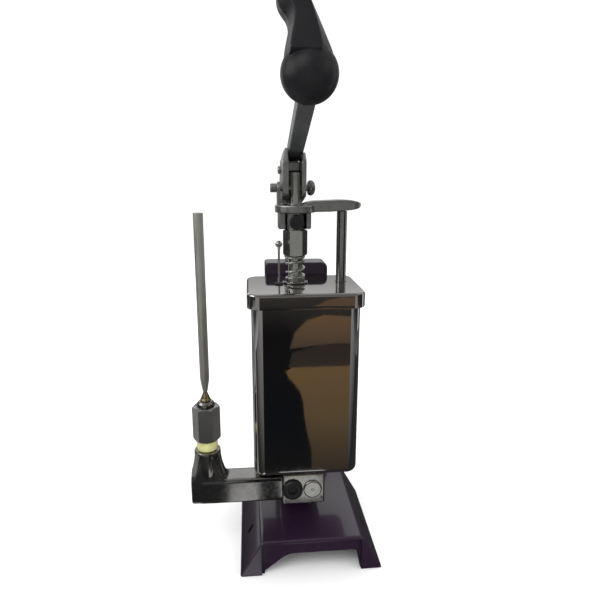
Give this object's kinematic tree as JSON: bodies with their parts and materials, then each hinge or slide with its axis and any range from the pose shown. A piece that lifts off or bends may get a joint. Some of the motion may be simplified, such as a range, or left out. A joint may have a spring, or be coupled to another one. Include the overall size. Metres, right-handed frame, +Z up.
{
  "type": "hand lever filling press",
  "caption": "Bench filling press: a hand lever pushes a sprung plunger down into a rectangular metal tank, and a bottom outlet arm feeds an upright tube.",
  "frame": {"origin": "on the floor under the centre of the bounding box at rest (handle up)", "axes": "+Z up, +Y from the operator towards the column, +X to the operator's right"},
  "size_m": [0.151, 0.1728, 0.4187],
  "materials": {
    "purple_paint": "glossy dark purple enamel",
    "mirror_steel": "mirror polished stainless sheet",
    "nickel": "bright turned nickel",
    "steel": "satin steel",
    "dark_steel": "dark polished steel",
    "brass": "turned brass",
    "black_grip": "satin black moulding",
    "rubber": "matte",
    "seal_plastic": "translucent pale yellow",
    "cast_lever": "dark grey satin"
  },
  "bodies": {
    "stand": {"base_casting": "purple_paint", "rear_column": "purple_paint", "tank_shell": "mirror_steel", "tank_lid": "mirror_steel", "tank_screw_lower": "nickel", "tank_screw_upper": "nickel", "pump_cylinder": "nickel", "valve_block": "nickel", "round_plug": "nickel", "bottom_plug": "nickel", "return_spring": "nickel", "fulcrum_post": "steel", "cylinder_stud_left": "steel", "cylinder_stud_right": "steel", "cylinder_stud_front": "steel", "cylinder_stud_rear": "steel", "valve_spring": "steel", "hex_coupling": "steel", "filling_tube": "steel", "column_bolt_left": "dark_steel", "column_bolt_right": "dark_steel", "post_screw_front": "dark_steel", "post_screw_rear": "dark_steel", "tank_spacer_lower": "dark_steel", "tank_spacer_upper": "dark_steel", "spring_washer": "dark_steel", "socket_plug": "dark_steel", "outlet_arm": "dark_steel", "nozzle_ferrule": "dark_steel", "gland_bush": "brass", "guide_bush": "brass", "nozzle_cone": "brass", "vent_grommet": "rubber", "cylinder_gasket": "rubber", "sealing_washer": "seal_plastic"},
    "plunger": {"plunger_rod": "nickel", "piston": "nickel", "piston_seal": "rubber", "piston_screw": "steel", "hex_sleeve": "nickel", "crosshead_plate": "steel", "yoke_saddle": "steel", "guide_rod": "dark_steel", "load_pin": "steel", "pin_retainer": "dark_steel"},
    "lever": {"lever_bar": "cast_lever", "lever_cheek_left": "steel", "lever_cheek_right": "steel", "bar_rivet_front": "steel", "bar_rivet_rear": "steel", "cheek_spacer": "steel", "spacer_bolt": "steel", "fulcrum_pin": "steel", "grip": "black_grip"},
    "clamp_screw": {"thumb_screw": "black_grip"},
    "vent": {"vent_pin": "nickel"},
    "valve": {"discharge_ball": "nickel"}
  },
  "joints": [
    {"name": "lever_hinge", "type": "hinge", "parent": "stand", "child": "lever", "pos_m": [0.0097, 0.0544, 0.293], "axis": [1, 0, 0], "range_deg": [0, 24.1]},
    {"name": "plunger_slide", "type": "slide", "parent": "stand", "child": "plunger", "axis": [0, 0, -1], "range_m": [0, 0.012], "stiffness_N_per_m": 1500, "springref_m": -0.008, "deforming": ["return_spring"]},
    {"name": "clamp_screw_turn", "type": "hinge", "parent": "plunger", "child": "clamp_screw", "pos_m": [0.0105, 0.0164, 0.273], "axis": [0, -1, 0], "range_deg": [-30, 330]},
    {"name": "vent_lift", "type": "slide", "parent": "stand", "child": "vent", "axis": [0, 0, 1], "range_m": [0, 0.008]},
    {"name": "valve_lift", "type": "slide", "parent": "stand", "child": "valve", "axis": [0, 0, -1], "range_m": [0, 0.0015], "stiffness_N_per_m": 60, "springref_m": -0.003, "deforming": ["valve_spring"]}
  ],
  "couplings": [
    {"joint": "plunger_slide", "follows": "lever_hinge", "m_per_rad": 0.02842}
  ]
}
